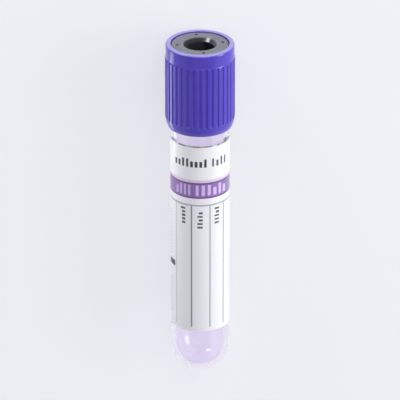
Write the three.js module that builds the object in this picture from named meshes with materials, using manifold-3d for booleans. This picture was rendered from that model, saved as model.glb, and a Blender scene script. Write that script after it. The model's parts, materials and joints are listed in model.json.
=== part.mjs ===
// A vacuum blood collection tube: a clear round-bottomed 13 x 75 mm tube with a label round its front, closed
// by a rubber stopper that is held in a fluted plastic cap. It lies on its side, with the label facing up.
//
// Each piece is built upright round the Y axis, with its heights measured up from the tip of the round
// bottom. The last section lays the finished tube down. All sizes are in millimetres.
import * as THREE from "three";
import { mergeVertices } from "three/addons/utils/BufferGeometryUtils.js";
import Module from "manifold-3d";

const wasm = await Module();
wasm.setup();

// ---- Driving dimensions ----

const tube = {
  radius: 6.5,
  length: 75,
  wall: 1, // at the mouth
  bottom: 1.1,
  draft: 0.15, // how much less the radius of the bore is at its foot
  lip: 0.3,
};

const label = {
  width: 20.8, // measured round the tube
  belowCap: 2.6,
  aboveBottom: 12,
  thickness: 0.08,
  corner: 1.5,
  glueGap: 0.05,
};

const stopper = {
  plug: 8.7, // length of the plug inside the tube
  plugClearance: 0.06,
  ringDepths: [1.8, 4.5], // of the sealing rings, below the mouth of the tube
  ringWidth: 1.2,
  ringHeight: 0.17,
  flange: 3.95, // thickness of the head where it lies under the lip of the cap
  septum: 3.9, // thickness of the rubber that the needle goes through
  well: 3, // radius of the hole that guides the needle
  wellMouth: 3.8,
  wellMouthDepth: 0.8,
  recessWall: 2, // round the hollow under the septum
  recessDepth: 3.6,
  edge: 0.3,
};

const nubs = { count: 4, radius: 0.5, height: 0.2, turn: 9 };

const cap = {
  height: 19.6,
  wall: 1, // at the ribs
  collarWall: 0.85,
  collarHeight: 3.1,
  collarStep: 0.3,
  hemWall: 0.4,
  hemHeight: 3, // height over which the grip curves in to the hem
  rimEdge: 0.45,
  lipThickness: 0.9,
  lipOverhang: 0.3, // how far the lip stands in from the bore of the skirt
  faceBelowRim: 0.25, // how far the top of the stopper lies below the rim
  bead: 0.2, // how far the snap bead stands in from the bore of the skirt
  innerEdge: 0.3,
};

const flutes = { count: 36, radius: 0.33, depth: 0.25, aboveBase: 2.1 };

const seatGap = 0.1; // between the stopper and what it sits against
const skirtClearance = 0.3; // between the tube and the skirt of the cap

const tubeSides = 60;
const stopperSides = 60;
const capSides = 2 * flutes.count; // a flat side for every rib and one for every flute

// ---- Places that follow from them ----

const boreRadius = tube.radius - tube.wall;

const flangeBase = tube.length + seatGap;
const flangeTop = flangeBase + stopper.flange;
const capTop = flangeTop + seatGap / 2 + cap.lipThickness;
const capBase = capTop - cap.height;
const gripBase = capBase + cap.hemHeight;

const skirtBore = tube.radius + skirtClearance;
const lipBore = skirtBore - cap.lipOverhang;
const gripRadius = skirtBore + cap.wall;

const labelTop = capBase - label.belowCap;
const labelHeight = labelTop - label.aboveBottom;

// ---- Helpers ----

const point = (x, y) => new THREE.Vector2(x, y);

// Points along an arc, for the outline of a turned piece. Angles are in degrees.
function arc(x, y, radius, from, to, steps) {
  return Array.from({ length: steps + 1 }, (_, i) => {
    const angle = THREE.MathUtils.degToRad(from + ((to - from) * i) / steps);
    return point(x + radius * Math.cos(angle), y + radius * Math.sin(angle));
  });
}

// A turned piece. Starting half a side round leaves a flat side, and not an edge, at the front and the back.
function turned(outline, sides) {
  return new THREE.LatheGeometry(outline, sides, Math.PI / sides, 2 * Math.PI);
}

// A turned piece that is open along its axis, such as a sleeve.
function turnedSleeve(outline, sides) {
  return turned([...outline, outline[0].clone()], sides);
}

function toSolid(geometry) {
  const bare = geometry.clone();
  bare.deleteAttribute("normal");
  bare.deleteAttribute("uv");
  const merged = mergeVertices(bare, 1e-4);
  return new wasm.Manifold(
    new wasm.Mesh({
      numProp: 3,
      vertProperties: merged.attributes.position.array,
      triVerts: new Uint32Array(merged.index.array),
    }),
  );
}

function toGeometry(solid) {
  const mesh = solid.getMesh();
  const geometry = new THREE.BufferGeometry();
  geometry.setAttribute("position", new THREE.BufferAttribute(mesh.vertProperties, 3));
  geometry.setIndex(new THREE.BufferAttribute(mesh.triVerts, 1));
  geometry.computeVertexNormals();
  return geometry;
}

// Copies of one shape at equal steps round the axis. The first is turned that many degrees from the front.
function around(shape, count, turn = 0) {
  return Array.from({ length: count }, (_, i) => {
    const angle = THREE.MathUtils.degToRad(turn + (360 * i) / count);
    return toSolid(shape.clone().rotateY(angle));
  });
}

// ---- Tube: clear moulded plastic, with a little draft in the bore and a rounded mouth ----

function tubeGeometry() {
  const boreFoot = boreRadius - tube.draft;
  const mouth = tube.length - tube.lip;
  return turned(
    [
      ...arc(0, tube.radius, tube.radius, -90, 0, 8),
      ...arc(tube.radius - tube.lip, mouth, tube.lip, 0, 90, 2),
      ...arc(boreRadius + tube.lip, mouth, tube.lip, 90, 180, 2),
      ...arc(0, tube.bottom + boreFoot, boreFoot, 0, -90, 8),
    ],
    tubeSides,
  );
}

// ---- Label: a thin film with rounded corners, stuck round the front of the tube ----

function labelGeometry() {
  const straight = label.width / 2 - label.corner;
  const inner = tube.radius + label.glueGap;

  // The film bends at these lines: close together in the corners, and evenly between them.
  const corner = arc(straight, 0, label.corner, 90, 0, 4).map((p) => p.x);
  const middle = Array.from({ length: 23 }, (_, i) => straight * ((i + 1) / 12 - 1));
  const lines = [...corner.map((x) => -x).reverse(), ...middle, ...corner];

  const film = new THREE.BoxGeometry(label.width, labelHeight, label.thickness, lines.length - 1);
  const at = film.attributes.position;
  for (let i = 0; i < at.count; i++) {
    const line = Math.round((at.getX(i) / label.width + 0.5) * (lines.length - 1));
    const x = lines[line];
    const intoCorner = Math.max(0, Math.abs(x) - straight);
    const cutAway = label.corner - Math.sqrt(label.corner ** 2 - intoCorner ** 2);
    const y = Math.sign(at.getY(i)) * (labelHeight / 2 - cutAway);
    const radius = inner + (at.getZ(i) > 0 ? label.thickness : 0);
    const angle = x / inner;
    at.setXYZ(i, radius * Math.sin(angle), y, radius * Math.cos(angle));
  }
  return film.translate(0, labelTop - labelHeight / 2, 0);
}

// ---- Stopper: dark rubber, with a needle well above the septum and a hollow below it ----

function stopperGeometry() {
  const { edge } = stopper;
  const softEdge = 3 * edge;
  const flangeRadius = skirtBore - seatGap / 2;
  const faceRadius = lipBore - seatGap;
  const face = capTop - cap.faceBelowRim;
  const plugRadius = boreRadius - stopper.plugClearance;
  const coreRadius = plugRadius - stopper.ringHeight;
  const recess = coreRadius - stopper.recessWall;
  const plugBase = flangeBase - stopper.plug;
  const recessTop = plugBase + stopper.recessDepth;
  const wellBase = recessTop + stopper.septum;

  // Each sealing ring is a low bulge of the plug.
  const rings = [...stopper.ringDepths].reverse().flatMap((depth) => [
    point(coreRadius, flangeBase - depth - stopper.ringWidth / 2),
    point(plugRadius, flangeBase - depth - stopper.ringWidth / 6),
    point(plugRadius, flangeBase - depth + stopper.ringWidth / 6),
    point(coreRadius, flangeBase - depth + stopper.ringWidth / 2),
  ]);

  const body = toSolid(
    turned(
      [
        point(0, recessTop),
        ...arc(recess - softEdge, recessTop - softEdge, softEdge, 90, 0, 4),
        point(recess, plugBase + edge),
        point(recess + edge, plugBase),
        point(coreRadius - softEdge, plugBase),
        point(coreRadius, plugBase + 2 * softEdge),
        ...rings,
        point(coreRadius, flangeBase),
        ...arc(flangeRadius - edge, flangeBase + edge, edge, -90, 0, 2),
        ...arc(flangeRadius - edge, flangeTop - edge, edge, 0, 90, 2),
        point(faceRadius, flangeTop),
        ...arc(faceRadius - edge, face - edge, edge, 0, 90, 2),
        ...arc(stopper.wellMouth, face - edge, edge, 90, 150, 2),
        point(stopper.well, face - stopper.wellMouthDepth),
        ...arc(stopper.well - softEdge, wellBase + softEdge, softEdge, 0, -90, 4),
        point(0, wellBase),
      ],
      stopperSides,
    ),
  );

  // Low domes stand on the top face, half way between its two edges.
  const dome = new THREE.SphereGeometry(nubs.radius, 12, 8);
  dome.translate(0, face + nubs.height - nubs.radius, (stopper.wellMouth + faceRadius) / 2);
  const domes = around(dome, nubs.count, nubs.turn);
  return toGeometry(domes.reduce((whole, nub) => whole.add(nub), body));
}

// ---- Cap: violet moulded plastic, open over the stopper, with a fluted grip ----

function capGeometry() {
  const hemRadius = skirtBore + cap.hemWall;
  const collarRadius = skirtBore + cap.collarWall;
  const stepTop = capTop - cap.collarHeight;
  const stepBase = stepTop - cap.collarStep;
  const lipBase = capTop - cap.lipThickness;
  const lipEdge = cap.rimEdge / 3;
  const beadTop = flangeBase - seatGap / 2;

  // The arc that meets the grip without a corner and ends on the edge of the hem.
  const curveIn = gripRadius - hemRadius;
  const hemArc = (cap.hemHeight ** 2 + curveIn ** 2) / (2 * curveIn);
  const hemAngle = THREE.MathUtils.radToDeg(Math.asin(cap.hemHeight / hemArc));

  const body = toSolid(
    turnedSleeve(
      [
        ...arc(gripRadius - hemArc, gripBase, hemArc, -hemAngle, 0, 4),
        point(gripRadius, stepBase),
        point(collarRadius, stepTop),
        ...arc(collarRadius - cap.rimEdge, capTop - cap.rimEdge, cap.rimEdge, 0, 90, 4),
        ...arc(lipBore + lipEdge, capTop - lipEdge, lipEdge, 90, 180, 2),
        point(lipBore, lipBase),
        point(skirtBore, lipBase),
        point(skirtBore, beadTop),
        point(skirtBore - cap.bead, beadTop - cap.bead),
        point(skirtBore - cap.bead, beadTop - 2 * cap.bead),
        point(skirtBore, beadTop - 4 * cap.bead),
        point(skirtBore, capBase + cap.innerEdge),
        point((skirtBore + hemRadius) / 2, capBase),
      ],
      capSides,
    ),
  );

  // Each flute is cut by a round-ended rod. It ends just short of the collar, and on the curve above the hem.
  const fluteTop = stepTop - cap.collarStep / 2;
  const fluteBase = capBase + flutes.aboveBase;
  const rod = new THREE.CapsuleGeometry(flutes.radius, fluteTop - fluteBase - 2 * flutes.radius, 3, 10);
  rod.translate(0, (fluteTop + fluteBase) / 2, gripRadius - flutes.depth + flutes.radius);
  return toGeometry(around(rod, flutes.count).reduce((whole, cutter) => whole.subtract(cutter), body));
}

// ---- Assembly ----

const clearPlastic = new THREE.MeshStandardMaterial({
  color: 0xe8eef2,
  roughness: 0.08,
  metalness: 0,
  transparent: true,
  opacity: 0.3,
});
const labelFilm = new THREE.MeshStandardMaterial({ color: 0xf2f2f5, roughness: 0.45, metalness: 0 });
const rubber = new THREE.MeshStandardMaterial({ color: 0x55565e, roughness: 0.6, metalness: 0 });
const violetPlastic = new THREE.MeshStandardMaterial({ color: 0x5548b7, roughness: 0.4, metalness: 0 });

function piece(name, geometry, material) {
  const mesh = new THREE.Mesh(geometry, material);
  mesh.name = name;
  return mesh;
}

const closure = new THREE.Group();
closure.add(piece("cap", capGeometry(), violetPlastic), piece("stopper", stopperGeometry(), rubber));

const upright = new THREE.Group();
upright.add(piece("tube", tubeGeometry(), clearPlastic), piece("label", labelGeometry(), labelFilm), closure);

// Lying down, it rests on the lower end of the grip and on the foot of the tube's straight wall. The grip is
// the wider, so it holds the cap end up and the axis slopes.
const flatSide = (radius, sides) => radius * Math.cos(Math.PI / sides);
const rise = flatSide(gripRadius, capSides) - flatSide(tube.radius, tubeSides);
upright.rotation.x = Math.atan(rise / (gripBase - tube.radius));

const part = new THREE.Group();
part.add(upright);

// The origin is on the surface that the tube lies on, under the middle of the whole.
const box = new THREE.Box3().setFromObject(part, true);
const middle = box.getCenter(new THREE.Vector3());
upright.position.set(-middle.x, -middle.y, -box.min.z);

export default part;
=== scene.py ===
import json
import math

import bmesh
import bpy
from mathutils import Matrix, Vector


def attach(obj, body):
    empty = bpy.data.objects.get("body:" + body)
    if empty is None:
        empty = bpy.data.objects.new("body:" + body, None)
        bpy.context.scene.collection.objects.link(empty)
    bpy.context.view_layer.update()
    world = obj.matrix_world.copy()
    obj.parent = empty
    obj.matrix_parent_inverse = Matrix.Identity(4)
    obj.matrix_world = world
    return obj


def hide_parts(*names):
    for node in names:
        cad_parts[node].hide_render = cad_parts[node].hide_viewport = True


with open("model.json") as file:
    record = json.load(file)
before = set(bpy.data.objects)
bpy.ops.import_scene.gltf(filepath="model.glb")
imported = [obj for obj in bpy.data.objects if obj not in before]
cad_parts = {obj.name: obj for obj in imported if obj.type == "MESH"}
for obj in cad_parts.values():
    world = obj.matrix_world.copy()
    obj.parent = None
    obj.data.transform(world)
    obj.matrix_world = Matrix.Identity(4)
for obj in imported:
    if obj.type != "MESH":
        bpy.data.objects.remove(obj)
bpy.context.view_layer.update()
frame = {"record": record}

# ---- Where it lies, and the camera ----
# The tube lies on its side, its cap end a little higher because the cap is wider than the barrel. Each piece
# is made in millimetres, upright along +Y on the tip of the round bottom and with its front towards +Z. It is
# then laid down by the rim of the cap, whose place and direction the record gives.

MM = 0.001
CAP_TOP = 80.0

rim = frame["record"]["mounts"][0]
tilt = math.atan2(rim["axis"][2], rim["axis"][1])
crown = Vector((0, rim["pos_m"][1], rim["pos_m"][2]))
lay_down = (Matrix.Translation(crown) @ Matrix.Rotation(tilt, 4, "X")
            @ Matrix.Translation((0, -CAP_TOP * MM, 0)) @ Matrix.Scale(MM, 4))

LOOKING_DOWN = math.radians(25.5)  # how far the view leans over the cap end
FRAMED = 0.0895  # how much of the tube's plane the view takes in, in metres
DISTANCE = 1.06
SENSOR = 36
AIMED_AT = 41.6  # the height on the upright tube that is in the middle of the view

turned_down = lay_down.to_3x3().normalized()
up_the_tube = turned_down @ Vector((0, 1, 0))
towards_camera = turned_down @ Vector((0, math.sin(LOOKING_DOWN), math.cos(LOOKING_DOWN)))
right = up_the_tube.cross(towards_camera).normalized()
aim = lay_down @ Vector((0, AIMED_AT, 0))

camera = bpy.data.objects.new("camera", bpy.data.cameras.new("camera"))
camera.data.sensor_width = SENSOR
camera.data.lens = SENSOR * DISTANCE / FRAMED
camera.data.clip_start = 0.01
camera.matrix_world = Matrix.Translation(aim + towards_camera * DISTANCE) @ Matrix(
    (right, towards_camera.cross(right), towards_camera)).transposed().to_4x4()
bpy.context.collection.objects.link(camera)
bpy.context.scene.camera = camera

# ---- Tube ----
# The barrel is moulded in one shot from clear PET, with a round bottom and a bore that tapers slightly, so
# that it comes off the core of the mould. Its mouth is rounded so that the stopper slides in, and its walls
# have the polish of the mould.

TUBE_RADIUS = 6.5
TUBE_LENGTH = 75.0
WALL = 1.0
BOTTOM = 1.1
DRAFT = 0.15
LIP = 0.3
BORE = TUBE_RADIUS - WALL
BOTTOM_STEPS = 48
COLUMNS = 256

CORNER_REACH = 0.47  # the most of a side that one rounded corner takes
CORNER_FILL = 0.85  # the most of that reach that its arc takes
CORNER_HOLD = 0.12  # how far past its arc, as a part of the reach, a point keeps the side straight
ON_AXIS = 1e-6


def arc(x, y, radius, start, end, steps):
    """Points along an arc of an outline. Angles are in degrees."""
    angles = [math.radians(start + (end - start) * i / steps) for i in range(steps + 1)]
    return [(x + radius * math.cos(a), y + radius * math.sin(a)) for a in angles]


def softened(outline, closed=False, steps=5):
    """The outline with its corners rounded: a point is (radius, height) or (radius, height, fillet)."""
    points = []
    for i, (x, y, *fillet) in enumerate(outline):
        corner = Vector((x, y))
        if not fillet or (not closed and i in (0, len(outline) - 1)):
            points.append(corner)
            continue
        before = Vector(outline[i - 1][:2]) - corner
        after = Vector(outline[(i + 1) % len(outline)][:2]) - corner
        reach = CORNER_REACH * min(before.length, after.length)
        before.normalize()
        after.normalize()
        half = before.angle(after) / 2
        radius = min(fillet[0], CORNER_FILL * reach * math.tan(half))
        along = radius / math.tan(half)
        held = along + CORNER_HOLD * reach
        middle = corner + (before + after).normalized() * radius / math.sin(half)
        first, last = corner + before * along - middle, corner + after * along - middle
        points.append(corner + before * held)
        points += [middle + first.slerp(last, s / steps).normalized() * radius for s in range(steps + 1)]
        points.append(corner + after * held)
    return [tuple(p) for p in points]


def piece(name, mesh):
    """An object at the origin whose mesh has been laid down, with its faces outwards. It is smooth, apart
    from edges sharper than 60 degrees."""
    shape = bmesh.new()
    shape.from_mesh(mesh)
    bmesh.ops.remove_doubles(shape, verts=shape.verts, dist=1e-5)
    bmesh.ops.recalc_face_normals(shape, faces=shape.faces)
    shape.to_mesh(mesh)
    shape.free()
    mesh.transform(lay_down)
    mesh.shade_smooth()
    mesh.set_sharp_from_angle(angle=math.radians(60))
    made = bpy.data.objects.new(name, mesh)
    bpy.context.collection.objects.link(made)
    return made


def turned(name, outline, columns, closed=False):
    """The mesh of an outline of (radius, height) turned round the Y axis. The outline starts and ends on the
    axis, or is closed."""
    verts, rings, faces = [], [], []
    for radius, height in outline:
        count = columns if radius > ON_AXIS else 1
        angles = [2 * math.pi * i / columns for i in range(count)]
        rings.append(range(len(verts), len(verts) + count))
        verts += [(radius * math.sin(a), height, radius * math.cos(a)) for a in angles]
    pairs = list(zip(rings, rings[1:])) + ([(rings[-1], rings[0])] if closed else [])
    for low, high in pairs:
        for i in range(columns):
            j = (i + 1) % columns
            around = [low[i % len(low)], low[j % len(low)], high[j % len(high)], high[i % len(high)]]
            faces.append(list(dict.fromkeys(around)))
    mesh = bpy.data.meshes.new(name)
    mesh.from_pydata(verts, [], faces)
    return mesh


class Wire:
    """A socket of a node tree, so that a sum on values is written as a sum."""

    def __init__(self, tree, socket=None):
        self.tree, self.socket = tree, socket

    def node(self, kind, settings=None, inputs=None, output=0):
        """A new node's output. Its settings are set first, then each input's value or link."""
        made = self.tree.nodes.new(kind)
        for key, value in (settings or {}).items():
            setattr(made, key, value)
        for key, value in (inputs or {}).items():
            if isinstance(value, Wire):
                self.tree.links.new(value.socket, made.inputs[key])
            else:
                made.inputs[key].default_value = value
        return Wire(self.tree, made.outputs[output])

    def other(self, output):
        """Another output of the node that this one comes from."""
        return Wire(self.tree, self.socket.node.outputs[output])

    def parts(self):
        """The three parts of a vector."""
        x = self.node("ShaderNodeSeparateXYZ", {}, {0: self})
        return x, x.other("Y"), x.other("Z")

    def math(self, operation, *others):
        sockets = dict(enumerate((self, *others)))
        return self.node("ShaderNodeMath", {"operation": operation}, sockets)

    def __add__(self, b): return self.math("ADD", b)
    def __radd__(self, b): return self.math("ADD", b)
    def __sub__(self, b): return self.math("SUBTRACT", b)
    def __rsub__(self, b): return self.node("ShaderNodeMath", {"operation": "SUBTRACT"}, {0: b, 1: self})
    def __mul__(self, b): return self.math("MULTIPLY", b)
    def __rmul__(self, b): return self.math("MULTIPLY", b)
    def __truediv__(self, b): return self.math("DIVIDE", b)
    def __rtruediv__(self, b): return self.node("ShaderNodeMath", {"operation": "DIVIDE"}, {0: b, 1: self})
    def __abs__(self): return self.math("ABSOLUTE")
    def __lt__(self, b): return self.math("LESS_THAN", b)
    def __gt__(self, b): return self.math("GREATER_THAN", b)

    def floor(self): return self.math("FLOOR")
    def sqrt(self): return self.math("SQRT")
    def least(self, b): return self.math("MINIMUM", b)
    def most(self, b): return self.math("MAXIMUM", b)
    def diagonal(self, b): return (self * self + b * b).sqrt()

    def ramp(self, start, end):
        """0 at start, 1 at end and straight between, for a start above or below the end."""
        ends = {"Value": self, "From Min": start, "From Max": end}
        return self.node("ShaderNodeMapRange", {"clamp": True}, ends)

    def ease(self, start, end):
        """As ramp, but eased at both ends."""
        ends = {"Value": self, "From Min": start, "From Max": end}
        return self.node("ShaderNodeMapRange", {"interpolation_type": "SMOOTHSTEP"}, ends)

    def mix(self, a, b):
        """The colour a where this mask is 0 and b where it is 1."""
        return self.node("ShaderNodeMix", {"data_type": "RGBA"}, {0: self, 6: a, 7: b}, output=2)


def colour(red, green, blue):
    """A colour written as it looks, from 0 to 255, as linear light."""
    def linear(c):
        c /= 255
        return c / 12.92 if c <= 0.04045 else ((c + 0.055) / 1.055) ** 2.4
    return (linear(red), linear(green), linear(blue), 1.0)


def material(name, base, **fixed):
    """A new material, its shader with the fixed values set, and a wire with each point's place on the upright
    tube in millimetres."""
    made = bpy.data.materials.new(name)
    made.use_nodes = True
    made.diffuse_color = base
    shader = made.node_tree.nodes["Principled BSDF"]
    shader.inputs["Base Color"].default_value = base
    for key, value in fixed.items():
        shader.inputs[key.replace("_", " ")].default_value = value
    moved, spun, scale = lay_down.inverted().decompose()
    place = Wire(made.node_tree).node("ShaderNodeTexCoord", output="Object")
    return made, shader, place.node("ShaderNodeMapping", {}, {
        "Vector": place, "Location": moved, "Rotation": spun.to_euler(), "Scale": scale})


def feed(shader, **wires):
    """Links what changes over the surface into the shader's sockets."""
    for key, wire in wires.items():
        wire.tree.links.new(wire.socket, shader.inputs[key.replace("_", " ")])


def noise(place, scale, stretch=(1, 1, 1), detail=2.0):
    """Even noise between 0 and 1, with about so many lumps to a millimetre."""
    stretched = place.node("ShaderNodeMapping", {}, {"Vector": place, "Scale": stretch})
    return place.node("ShaderNodeTexNoise", {}, {"Vector": stretched, "Scale": scale, "Detail": detail})


def bump(height, distance):
    """A normal from a height of 0 to 1 that stands for so many millimetres."""
    return height.node("ShaderNodeBump", {}, {"Height": height, "Distance": distance * MM, "Strength": 1.0})


def show_instead(shader, other, mask):
    """Ends a material in another shader where the mask is 1, and in its own where the mask is 0."""
    both = mask.node("ShaderNodeMixShader", {}, {0: mask, 1: Wire(mask.tree, shader.outputs[0]), 2: other})
    mask.tree.links.new(both.socket, mask.tree.nodes["Material Output"].inputs["Surface"])


bore_foot = BORE - DRAFT
tube = piece("tube_clear_barrel", turned("tube_clear_barrel", softened([
    *arc(0, TUBE_RADIUS, TUBE_RADIUS, -90, 0, BOTTOM_STEPS),
    (TUBE_RADIUS, TUBE_LENGTH, LIP),
    (BORE, TUBE_LENGTH, LIP),
    *arc(0, BOTTOM + bore_foot, bore_foot, 0, -90, BOTTOM_STEPS),
]), COLUMNS))

# the plastic's faint violet tint, and the tint of the lamplight it lets through, is a painted reflection of
# the violet cap
clear_pet, shader, place = material("clear_pet", colour(242, 237, 250), IOR=1.57, Transmission_Weight=0.95)
flow = noise(place, 0.5, (1, 0.15, 1))
feed(shader, Roughness=noise(place, 1.5).ramp(0.3, 0.7) * 0.03 + 0.02, Normal=bump(flow, 0.008))
lamplight = place.node("ShaderNodeLightPath", output="Is Shadow Ray")
unbent = place.node("ShaderNodeBsdfTransparent", {}, {"Color": colour(226, 220, 240)})
show_instead(shader, unbent, lamplight)  # so that the plastic lets the lamps through
tube.data.materials.append(clear_pet)
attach(tube, "tube_body")
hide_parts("tube")

# ---- Label ----
# A printed plastic film with rounded corners, rolled on round the front of the barrel with its own adhesive.
# It leaves a clear window at the back for the fill to show. Its print is a violet stripe, ruled fields and
# plain bars, and a patchy dark line along its upper edge is painted shade.

LABEL_WIDTH = 20.8
LABEL_TOP = 57.8
LABEL_FOOT = 12.0
LABEL_THICKNESS = 0.08
LABEL_CORNER = 1.5
LABEL_COLUMNS = 96
CORNER_COLUMNS = 10
GLUE = 0.05
LABEL_INNER = TUBE_RADIUS + GLUE
LABEL_OUTER = LABEL_INNER + LABEL_THICKNESS

straight = LABEL_WIDTH / 2 - LABEL_CORNER
bend = [(u, LABEL_CORNER - rise) for u, rise in arc(straight, 0, LABEL_CORNER, 90, 0, CORNER_COLUMNS)]
edge_lines = [(-u, cut) for u, cut in reversed(bend)] + [
    (straight * (2 * i / LABEL_COLUMNS - 1), 0) for i in range(1, LABEL_COLUMNS)] + bend
verts, faces = [], []
for u, cut in edge_lines:
    angle = u / LABEL_INNER
    for radius, height in ((LABEL_OUTER, LABEL_TOP - cut), (LABEL_OUTER, LABEL_FOOT + cut),
                           (LABEL_INNER, LABEL_FOOT + cut), (LABEL_INNER, LABEL_TOP - cut)):
        verts.append((radius * math.sin(angle), height, radius * math.cos(angle)))
for line in range(len(edge_lines) - 1):
    a, b = 4 * line, 4 * line + 4
    faces += [(a + i, a + (i + 1) % 4, b + (i + 1) % 4, b + i) for i in range(4)]
faces += [(0, 1, 2, 3), tuple(len(verts) - i for i in (1, 2, 3, 4))]
label_mesh = bpy.data.meshes.new("label_film")
label_mesh.from_pydata(verts, [], faces)
label = piece("label_film", label_mesh)

printed_film, shader, place = material("printed_film", colour(240, 240, 244), IOR=1.5, Coat_Weight=0.25,
                                       Coat_Roughness=0.18)
x, y, z = place.parts()
outside = x.diagonal(z) > LABEL_INNER + LABEL_THICKNESS / 2
u = x.math("ARCTAN2", z) * LABEL_INNER  # to the right of the front line
v = LABEL_TOP - y  # below the top edge


PRINT_SOFTNESS = 0.05
LOW_BARS = 0.55  # how many bars in a row are low
LOW_BAR_LACKS = 0.28  # how much of the row's height a low bar lacks at its top
NARROWEST_BAR = 0.6  # as a part of the widest
BAR_CORNER = 0.2  # its radius, as a part of the widest bar


def band(value, start, end, soft=PRINT_SOFTNESS):
    """1 between two places and 0 beyond them."""
    return value.ramp(start - soft, start + soft) * value.ramp(end + soft, end - soft)


def marks(along, across, start, end, low, high, cells, fill, seed):
    """A row of plain solid bars with rounded corners, low or tall and wide or narrow by chance. The widest
    fill so much of their cells."""
    pitch = (end - start) / cells
    run = (along - start) / pitch
    cell = run.floor()
    chance = cell.node("ShaderNodeTexWhiteNoise", {"noise_dimensions": "1D"}, {"W": cell + 31.7 * seed})
    second = chance.node("ShaderNodeSeparateColor", {}, {0: chance.other("Color")})
    short = (second > 1 - LOW_BARS) * (LOW_BAR_LACKS / 2 * (high - low))
    half_width = (chance * (1 - NARROWEST_BAR) + NARROWEST_BAR) * (fill * pitch / 2)
    corner = BAR_CORNER * pitch * fill
    dx = abs(run - cell - 0.5) * pitch - half_width + corner
    dy = abs(across - (low + high) / 2 - short) + short - (high - low) / 2 + corner
    out_x, out_y = dx.most(0.0), dy.most(0.0)
    inside = out_x.diagonal(out_y) + dx.most(dy).least(0.0) - corner
    return inside.ramp(PRINT_SOFTNESS, -PRINT_SOFTNESS) * band(along, start, end)


# Where the print is: u in millimetres to the right of the front line, v in millimetres below the top edge.
PAINTED_EDGE_SHADE = (-1.0, 0.3)  # it starts past the edge, so that the line takes in the film's cut face
WORDS = (3.15, 5.15)
PINK_ABOVE = (8.25, 8.9)
STRIPE = (8.9, 12.8)
STRIPE_MIDDLE = (9.3, 12.45)
STRIPE_WORDS = (9.5, 12.1)
WHITE_BELOW = (12.8, 14.1)
FIELDS_RULE = (14.3, 14.65)
FIELDS = (14.65, 44.8)
LEFT_PANEL = (-6.0, -1.9)
RIGHT_PANEL = (2.25, LABEL_WIDTH)
STRIPE_FADES = (7.4, LABEL_WIDTH)
BLOCK_ACROSS = (-9.4, -6.5)
BLOCK_DOWN = (29.4, 30.8)
RULE_HALF_WIDTH = 0.15
CAPTION_LENGTH = 4.4
CAPTION_HALF_WIDTH = 0.6
FINE_HALF_WIDTH = 0.35

film = band(u, *LEFT_PANEL).mix(colour(250, 250, 253), colour(246, 246, 249))
film = band(u, *RIGHT_PANEL).mix(film, colour(246, 247, 251))
film = band(v, *PINK_ABOVE, 0.2).mix(film, colour(232, 206, 238))
violet = band(v, *STRIPE_MIDDLE).mix(colour(104, 78, 142), colour(144, 108, 180))
violet = band(u, *STRIPE_FADES).mix(violet, colour(146, 136, 176))
film = band(v, *STRIPE).mix(film, violet)
film = band(v, *WHITE_BELOW).mix(film, colour(252, 246, 255))
# painted shade: a patchy dark line along the top edge, for the dark line of shade seen at the film's edge
patchy_edge_shade = noise(place, 1.2, (1, 0.05, 1)).ramp(0.42, 0.58) * 0.6 + 0.3
film = (band(v, *PAINTED_EDGE_SHADE, 0.1) * patchy_edge_shade).mix(film, colour(72, 66, 104))
film = (band(v, *FIELDS_RULE) * 0.8).mix(film, colour(146, 141, 162))
# Rows of bars on the stripe and above it, ruled lines down the fields, and rows of bars that run down them.
for seed, (start, end, row, cells, fill, ink) in enumerate((
        (-6.1, -1.9, STRIPE_WORDS, 4, 0.66, colour(212, 182, 240)),
        (-1.3, 6.8, STRIPE_WORDS, 6, 0.72, colour(222, 194, 250)),
        (-6.5, 1.7, WORDS, 8, 0.7, colour(52, 52, 58)),
        (2.4, 6.9, WORDS, 4, 0.6, colour(76, 76, 84))), 1):
    film = marks(u, v, start, end, *row, cells, fill, seed).mix(film, ink)
for line_u, darkness in ((LEFT_PANEL[0], 0.4), (LEFT_PANEL[1], 0.9), (RIGHT_PANEL[0], 0.65), (5.9, 0.8)):
    rule = band(u, line_u - RULE_HALF_WIDTH, line_u + RULE_HALF_WIDTH, 0.06) * band(v, *FIELDS)
    film = (rule * darkness).mix(film, colour(104, 105, 114))
for column_u, top_v, seed in ((-4.0, 15.0, 5), (0.0, 15.9, 6), (3.95, 15.1, 7)):
    caption = marks(v, u, top_v, top_v + CAPTION_LENGTH,
                    column_u - CAPTION_HALF_WIDTH, column_u + CAPTION_HALF_WIDTH, 5, 0.7, seed)
    film = caption.mix(film, colour(72, 73, 82))
for column_u, top_v, foot_v, seed in ((8.7, 27.0, 38.0, 8), (-8.4, 17.0, 28.5, 9), (-8.4, 34.0, 43.0, 10)):
    fine = marks(v, u, top_v, foot_v, column_u - FINE_HALF_WIDTH, column_u + FINE_HALF_WIDTH, 16, 0.66, seed)
    film = (fine * 0.6).mix(film, colour(132, 133, 142))
film = (band(u, *BLOCK_ACROSS) * band(v, *BLOCK_DOWN)).mix(film, colour(20, 20, 24))
fibre = noise(place, 3.0, (1, 0.5, 1), 4.0)
film = outside.mix(colour(226, 227, 232), film)
film = (fibre.ramp(0.35, 0.75) * 0.06).mix(film, colour(196, 198, 208))
feed(shader, Base_Color=film, Roughness=fibre * 0.12 + 0.34, Normal=bump(fibre, 0.012))
label.data.materials.append(printed_film)
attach(label, "tube_body")
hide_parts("label")

# ---- Stopper ----
# Grey butyl rubber, moulded in one: a ringed plug that seals the bore, a thicker head that sits on the mouth,
# and a deep well that guides the needle to the septum. Low nubs on its face keep loose stoppers from sticking
# together before they go into their caps.

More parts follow.
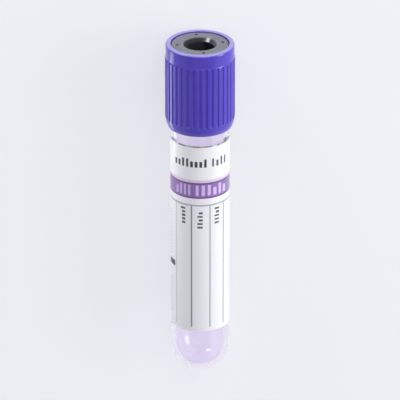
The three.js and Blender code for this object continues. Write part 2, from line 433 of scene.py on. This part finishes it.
PLUG = 8.7
PLUG_CLEARANCE = 0.06
RING_DEPTHS = (4.5, 1.8)
RING_WIDTH = 1.2
RING_HEIGHT = 0.17
RING_STEPS = 20
HEAD = 3.95
SEPTUM = 3.9
WELL = 3.0
WELL_MOUTH = 3.8
WELL_MOUTH_DEPTH = 0.8
RECESS_WALL = 2.0
RECESS_DEPTH = 3.6
SEAT_GAP = 0.1
SKIRT_CLEARANCE = 0.3
LIP_OVERHANG = 0.3
FACE_BELOW_RIM = 0.25
PLUG_ROUNDING = 0.9
EDGE_ROUNDING = 0.3
NUBS = 4
NUB_RADIUS = 0.5
NUB_HEIGHT = 0.2
NUB_TURN = 9

skirt_bore = TUBE_RADIUS + SKIRT_CLEARANCE
lip_bore = skirt_bore - LIP_OVERHANG
head_base = TUBE_LENGTH + SEAT_GAP
head_top = head_base + HEAD
head_radius = skirt_bore - SEAT_GAP / 2
face = CAP_TOP - FACE_BELOW_RIM
face_radius = lip_bore - SEAT_GAP
plug_radius = BORE - PLUG_CLEARANCE
core = plug_radius - RING_HEIGHT
recess = core - RECESS_WALL
plug_base = head_base - PLUG
recess_top = plug_base + RECESS_DEPTH
well_base = recess_top + SEPTUM

rings = [(core + RING_HEIGHT * math.cos(math.pi * i / RING_STEPS) ** 2,
          head_base - depth + RING_WIDTH * i / RING_STEPS)
         for depth in RING_DEPTHS for i in range(-RING_STEPS // 2, RING_STEPS // 2 + 1)]
body = turned("stopper", softened([
    (0, recess_top), (recess, recess_top, PLUG_ROUNDING), (recess, plug_base, EDGE_ROUNDING),
    (core, plug_base, PLUG_ROUNDING), *rings, (core, head_base, 0.2),
    (head_radius, head_base, EDGE_ROUNDING), (head_radius, head_top, EDGE_ROUNDING),
    (face_radius, head_top, 0.1), (face_radius, face, EDGE_ROUNDING),
    (WELL_MOUTH, face, 0.12), (WELL, face - WELL_MOUTH_DEPTH, EDGE_ROUNDING),
    (WELL, well_base, PLUG_ROUNDING), (0, well_base),
], steps=8), COLUMNS)


def geometry_tree(name, sizes):
    """A node tree for a modifier, a wire to the mesh that goes in, and one for each of its named sizes."""
    tree = bpy.data.node_groups.new(name, "GeometryNodeTree")
    tree.interface.new_socket("Mesh", in_out="INPUT", socket_type="NodeSocketGeometry")
    tree.interface.new_socket("Mesh", in_out="OUTPUT", socket_type="NodeSocketGeometry")
    for size in sizes:
        tree.interface.new_socket(size, in_out="INPUT", socket_type="NodeSocketFloat")
    mesh = Wire(tree).node("NodeGroupInput")
    return mesh, [mesh.other(size) for size in sizes]


def shaped(mesh, result, finish, sizes):
    """The mesh after it has gone through the tree that ends in this result."""
    real = result.node("GeometryNodeRealizeInstances", {}, {0: result})
    finished = real.node("GeometryNodeSetMaterial", {}, {"Geometry": real, "Material": finish})
    tree = result.tree
    tree.links.new(finished.socket, tree.nodes.new("NodeGroupOutput").inputs[0])
    rough = bpy.data.objects.new(tree.name, mesh)
    bpy.context.collection.objects.link(rough)
    modifier = rough.modifiers.new(tree.name, "NODES")
    modifier.node_group = tree
    for item in tree.interface.items_tree:
        if item.in_out == "INPUT" and item.name in sizes:
            modifier[item.identifier] = float(sizes[item.name])
    graph = bpy.context.evaluated_depsgraph_get()
    made = bpy.data.meshes.new_from_object(rough.evaluated_get(graph), depsgraph=graph)
    bpy.data.objects.remove(rough)
    made.name = tree.name
    return made


butyl_rubber, shader, place = material("butyl_rubber", colour(104, 106, 116), IOR=1.5, Specular_IOR_Level=0.6)
x, y, z = place.parts()
radius = x.diagonal(z)
above_recess = y > recess_top + 1
nub_tops_shade = y > face + 0.02
well_shade = radius.ramp(WELL_MOUTH - 0.02, WELL_MOUTH - 0.28) * y.ramp(face - 0.02, face - 0.12) * above_recess
grain = noise(place, 4.0, detail=5.0)
cloud = noise(place, 0.7)
grey = cloud.ramp(0.3, 0.75).mix(colour(104, 106, 117), colour(120, 122, 134))
grey = (grain.ramp(0.5, 0.7) * 0.5).mix(grey, colour(88, 90, 102))
# the tops of the nubs are painted dark: painted shade that marks them out as dark dots
grey = nub_tops_shade.mix(grey, colour(34, 35, 42))
# the inside of the well is painted near black: painted shade in the deep recess
grey = well_shade.mix(grey, colour(28, 29, 35))
mouth = radius.ramp(WELL_MOUTH + 0.05, WELL_MOUTH - 0.1)
slick = mouth * x.ramp(0.5, 1.2)  # one side of the well's mouth is shinier than the other
dullness = (grain * 0.2 + 0.36 + mouth * 0.4) * (1 - slick * 0.85)
feed(shader, Base_Color=grey, Roughness=dullness, Normal=bump(grain, 0.015))

mesh, (count, dome_radius, dome_height, circle, turn, level) = geometry_tree("stopper_nubs", (
    "Count", "Dome Radius", "Dome Height", "Circle Radius", "Turn", "Level"))
spots = mesh.node("GeometryNodeMeshCircle", {}, {"Vertices": count, "Radius": circle})
dome = mesh.node("GeometryNodeMeshUVSphere", {}, {"Segments": 32, "Rings": 20, "Radius": dome_radius})
tilted = mesh.node("ShaderNodeCombineXYZ", {}, {"X": -math.pi / 2, "Y": turn})
lifted = mesh.node("ShaderNodeCombineXYZ", {}, {"Y": level + dome_height - dome_radius})
laid = mesh.node("GeometryNodeTransform", {}, {"Geometry": spots, "Rotation": tilted, "Translation": lifted})
domes = mesh.node("GeometryNodeInstanceOnPoints", {}, {"Points": laid, "Instance": dome})
both = mesh.node("GeometryNodeJoinGeometry", {}, {0: domes})
both.tree.links.new(mesh.socket, both.socket.node.inputs[0])
stopper = piece("stopper_rubber", shaped(body, both, butyl_rubber, {
    "Count": NUBS, "Dome Radius": NUB_RADIUS, "Dome Height": NUB_HEIGHT, "Turn": math.radians(NUB_TURN),
    "Circle Radius": (WELL_MOUTH + face_radius) / 2, "Level": face}))
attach(stopper, "closure")
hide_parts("stopper")

# ---- Cap ----
# Violet polyethylene, moulded in one piece and snapped over the head of the stopper: a lip holds it from
# above and a small bead from below. Fine upright flutes give the fingers a grip, and its skirt hangs over the
# mouth of the tube.

CAP_HEIGHT = 19.6
CAP_WALL = 1.0
HEM_WALL = 0.4
HEM_HEIGHT = 3.0
HEM_STEPS = 36
HEM_BEVEL = 0.3
COLLAR_WALL = 0.85
COLLAR_HEIGHT = 3.1
COLLAR_STEP = 0.3
LIP_THICKNESS = 0.9
RIM_EDGE = 0.45
BEAD = 0.2
FLUTES = 36
FLUTE_DEPTH = 0.25
FLUTE_HALF_WIDTH = 0.3
FLUTE_SOFTNESS = 0.22
FLUTE_ABOVE_BASE = 2.1
FLUTE_END = 0.7  # how much of a flute's top has finer rings
COLUMNS_TO_A_FLUTE = 20

cap_base = CAP_TOP - CAP_HEIGHT
grip_base = cap_base + HEM_HEIGHT
grip = skirt_bore + CAP_WALL
hem = skirt_bore + HEM_WALL
collar = skirt_bore + COLLAR_WALL
step_top = CAP_TOP - COLLAR_HEIGHT
step_base = step_top - COLLAR_STEP
lip_base = CAP_TOP - LIP_THICKNESS
bead_top = head_base - SEAT_GAP / 2
flute_top = step_top - COLLAR_STEP / 2
flute_foot = cap_base + FLUTE_ABOVE_BASE
finer_from = flute_top - FLUTE_END


def between(first, last, steps):
    """The points that part a straight side of an outline into so many steps, without its two ends."""
    return [tuple(a + (b - a) * i / steps for a, b in zip(first, last)) for i in range(1, steps)]


hem_arc = (HEM_HEIGHT ** 2 + (grip - hem) ** 2) / (2 * (grip - hem))
hem_angle = math.degrees(math.asin(HEM_HEIGHT / hem_arc))
sleeve = turned("cap", softened([
    (hem, cap_base, 0.1),  # the curve starts three steps on, to leave room for the rounding
    *arc(grip - hem_arc, grip_base, hem_arc, -hem_angle, 0, HEM_STEPS)[3:],
    *between((grip, grip_base), (grip, finer_from), 8), (grip, finer_from),
    *between((grip, finer_from), (grip, step_base), 9), (grip, step_base, 0.05),
    *between((grip, step_base), (collar, step_top), 6), (collar, step_top, 0.1),
    (collar, CAP_TOP, RIM_EDGE), (lip_bore, CAP_TOP, RIM_EDGE / 3), (lip_bore, lip_base),
    (skirt_bore, lip_base), (skirt_bore, bead_top), (skirt_bore - BEAD, bead_top - BEAD),
    (skirt_bore - BEAD, bead_top - 2 * BEAD), (skirt_bore, bead_top - 4 * BEAD),
    (skirt_bore, cap_base + HEM_BEVEL, 0.15), ((skirt_bore + hem) / 2, cap_base, 0.15),
], closed=True), COLUMNS_TO_A_FLUTE * FLUTES, closed=True)

violet_pe, shader, place = material("violet_polyethylene", colour(88, 75, 186), IOR=1.51)
cloud = noise(place, 0.35, (1, 0.4, 1))
grain = noise(place, 6.0, detail=4.0)
_, y, _ = place.parts()
violet = cloud.ramp(0.3, 0.75).mix(colour(78, 60, 188), colour(84, 65, 196))
violet = (grain.ramp(0.6, 0.8) * 0.2).mix(violet, colour(106, 92, 208))
# the top of the rim is painted pale lavender: a painted highlight
rim_highlight_paint = y.ramp(CAP_TOP - 0.3, CAP_TOP - 0.05) * 0.65
# the foot of the hem is painted paler violet: a painted highlight
hem_highlight_paint = y.ramp(cap_base + 1.2, cap_base + 0.1) * 0.35
violet = rim_highlight_paint.mix(violet, colour(174, 168, 216))
violet = hem_highlight_paint.mix(violet, colour(140, 128, 216))
feed(shader, Base_Color=violet, Roughness=grain * 0.12 + 0.1, Normal=bump(grain, 0.003))

mesh, (flutes, depth, half_width, softness, grip_radius, top, foot) = geometry_tree("cap_flutes", (
    "Flutes", "Depth", "Half Width", "Softness", "Grip Radius", "Top", "Foot"))
point = mesh.node("GeometryNodeInputPosition")
x, y, z = point.parts()
radius = x.diagonal(z)
pitch = 2 * math.pi / flutes
turns = x.math("ARCTAN2", z) / pitch
beside = abs(turns - turns.math("ROUND")) * pitch * radius
beyond = (abs(y - (top + foot) / 2) - (top - foot) / 2 + half_width).most(0.0)
away = beside.diagonal(beyond)
cut = away.ease(half_width + softness / 2, half_width - softness / 2)
shrink = radius.least(grip_radius - depth * cut) / radius.most(ON_AXIS)
to = mesh.node("ShaderNodeCombineXYZ", {}, {"X": x * shrink, "Y": y, "Z": z * shrink})
fluted = mesh.node("GeometryNodeSetPosition", {}, {"Geometry": mesh, "Position": to})
cap = piece("cap_fluted", shaped(sleeve, fluted, violet_pe, {
    "Flutes": FLUTES, "Depth": FLUTE_DEPTH, "Half Width": FLUTE_HALF_WIDTH, "Softness": FLUTE_SOFTNESS,
    "Grip Radius": grip, "Top": flute_top, "Foot": flute_foot}))
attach(cap, "closure")
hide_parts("cap")

# ---- Floor ----
# A wide, pale, matt table top just under the tube. It takes the tube's soft shadow and is seen through the
# clear plastic, and far off it is lifted to white.

FLOOR_SIZE = 6
FLOOR_DROP = 0.01 * MM
FLOOR_GLOW = 0.65  # how far the floor near the tube is lifted to white, which leaves a third of its shadow
GLOW_GROWS = (100.0, 500.0)  # where it starts to be lifted more, and where it is white, in millimetres

floor_mesh = bpy.data.meshes.new("floor")
half = FLOOR_SIZE / 2
corners = (-half, -half), (half, -half), (half, half), (-half, half)
floor_mesh.from_pydata([(x, y, -FLOOR_DROP) for x, y in corners], [], [(0, 1, 2, 3)])
floor = bpy.data.objects.new("floor", floor_mesh)
bpy.context.collection.objects.link(floor)
matt_white, shader, place = material("matt_white", colour(238, 239, 243), Roughness=0.8)
speck = noise(place, 0.02)
feed(shader, Base_Color=speck.mix(colour(246, 247, 251), colour(250, 251, 254)))
rays = place.node("ShaderNodeLightPath")
far_off = place.node("ShaderNodeVectorMath", {"operation": "LENGTH"}, {0: place}, output="Value")
glow = far_off.ease(*GLOW_GROWS) * (1 - FLOOR_GLOW) + FLOOR_GLOW
seen = ((rays + rays.other("Is Transmission Ray")).least(1.0) * glow).most(rays.other("Is Glossy Ray"))
pale = place.node("ShaderNodeEmission", {}, {"Color": colour(247, 248, 252)})
show_instead(shader, pale, seen)
floor.data.materials.append(matt_white)

# ---- Light ----
# Soft boxes stand high on the right, overhead, and past the cap end for the rim and the stopper's face. On
# the left are a faint wall of light and a small card on the table, which the cap's left edge mirrors. The
# rest is even, pale air.


def soft_box(name, direction, distance, width, length, strength, lean=0, on_table=False):
    """A rectangular lamp, so many metres from the tube, that faces it or lies on the table and faces up. Its
    strength is what it adds to a white surface there that faces it."""
    lamp = bpy.data.lights.new(name, "AREA")
    lamp.shape, lamp.size, lamp.size_y = "RECTANGLE", width, length
    lamp.energy = strength * math.pi ** 2 * distance ** 2
    made = bpy.data.objects.new(name, lamp)
    spot = Vector(direction).normalized() * distance
    away = Vector((0, 0, -1)) if on_table else spot.normalized()
    side = Vector((0, 1, 0)).cross(away).normalized()
    made.matrix_world = Matrix.Translation(spot) @ Matrix(
        (side, away.cross(side), away)).transposed().to_4x4() @ Matrix.Rotation(math.radians(lean), 4, "Z")
    made.visible_camera = False
    made.visible_transmission = not on_table
    bpy.context.collection.objects.link(made)


# Each lamp's name, the way to it, how far off it is, its width and length, and its strength.
soft_box("right_window", (0.93, 0.1, 0.36), 0.8, 0.3, 0.6, 0.5)
soft_box("right_wall", (0.93, -0.4, 0.3), 1.0, 0.8, 1.2, 0.12)
soft_box("overhead", (0.15, 0.72, 0.68), 0.9, 0.5, 0.5, 0.26)
soft_box("past_the_cap", (0.45, 0.87, 0.18), 0.8, 0.3, 0.7, 0.2)
soft_box("cap_end_spot", (-0.625, 0.77, 0.125), 0.7, 0.28, 0.13, 0.34, lean=31)
soft_box("left_wall", (-0.9, -0.45, 0.35), 1.0, 0.8, 1.2, 0.08)
soft_box("left_card", (-0.94, 0.34, 0.012), 0.046, 0.046, 0.024, 0.46, on_table=True)

AIR_LIGHT = 0.37  # how much light the air gives
AIR_SEEN = 1.0  # how bright it is where it is seen, itself or through clear plastic
AIR_MIRRORED = 0.3  # how far it goes from the one to the other where it is mirrored

world = bpy.data.worlds.new("pale_air")
bpy.context.scene.world = world
world.use_nodes = True
tree = world.node_tree
rays = Wire(tree).node("ShaderNodeLightPath")
seen = (rays + rays.other("Is Transmission Ray")).least(1.0).most(rays.other("Is Glossy Ray") * AIR_MIRRORED)
air = tree.nodes["Background"]
air.inputs["Color"].default_value = colour(244, 245, 251)
tree.links.new((seen * (AIR_SEEN - AIR_LIGHT) + AIR_LIGHT).socket, air.inputs["Strength"])
bpy.context.scene.view_settings.view_transform = "Standard"
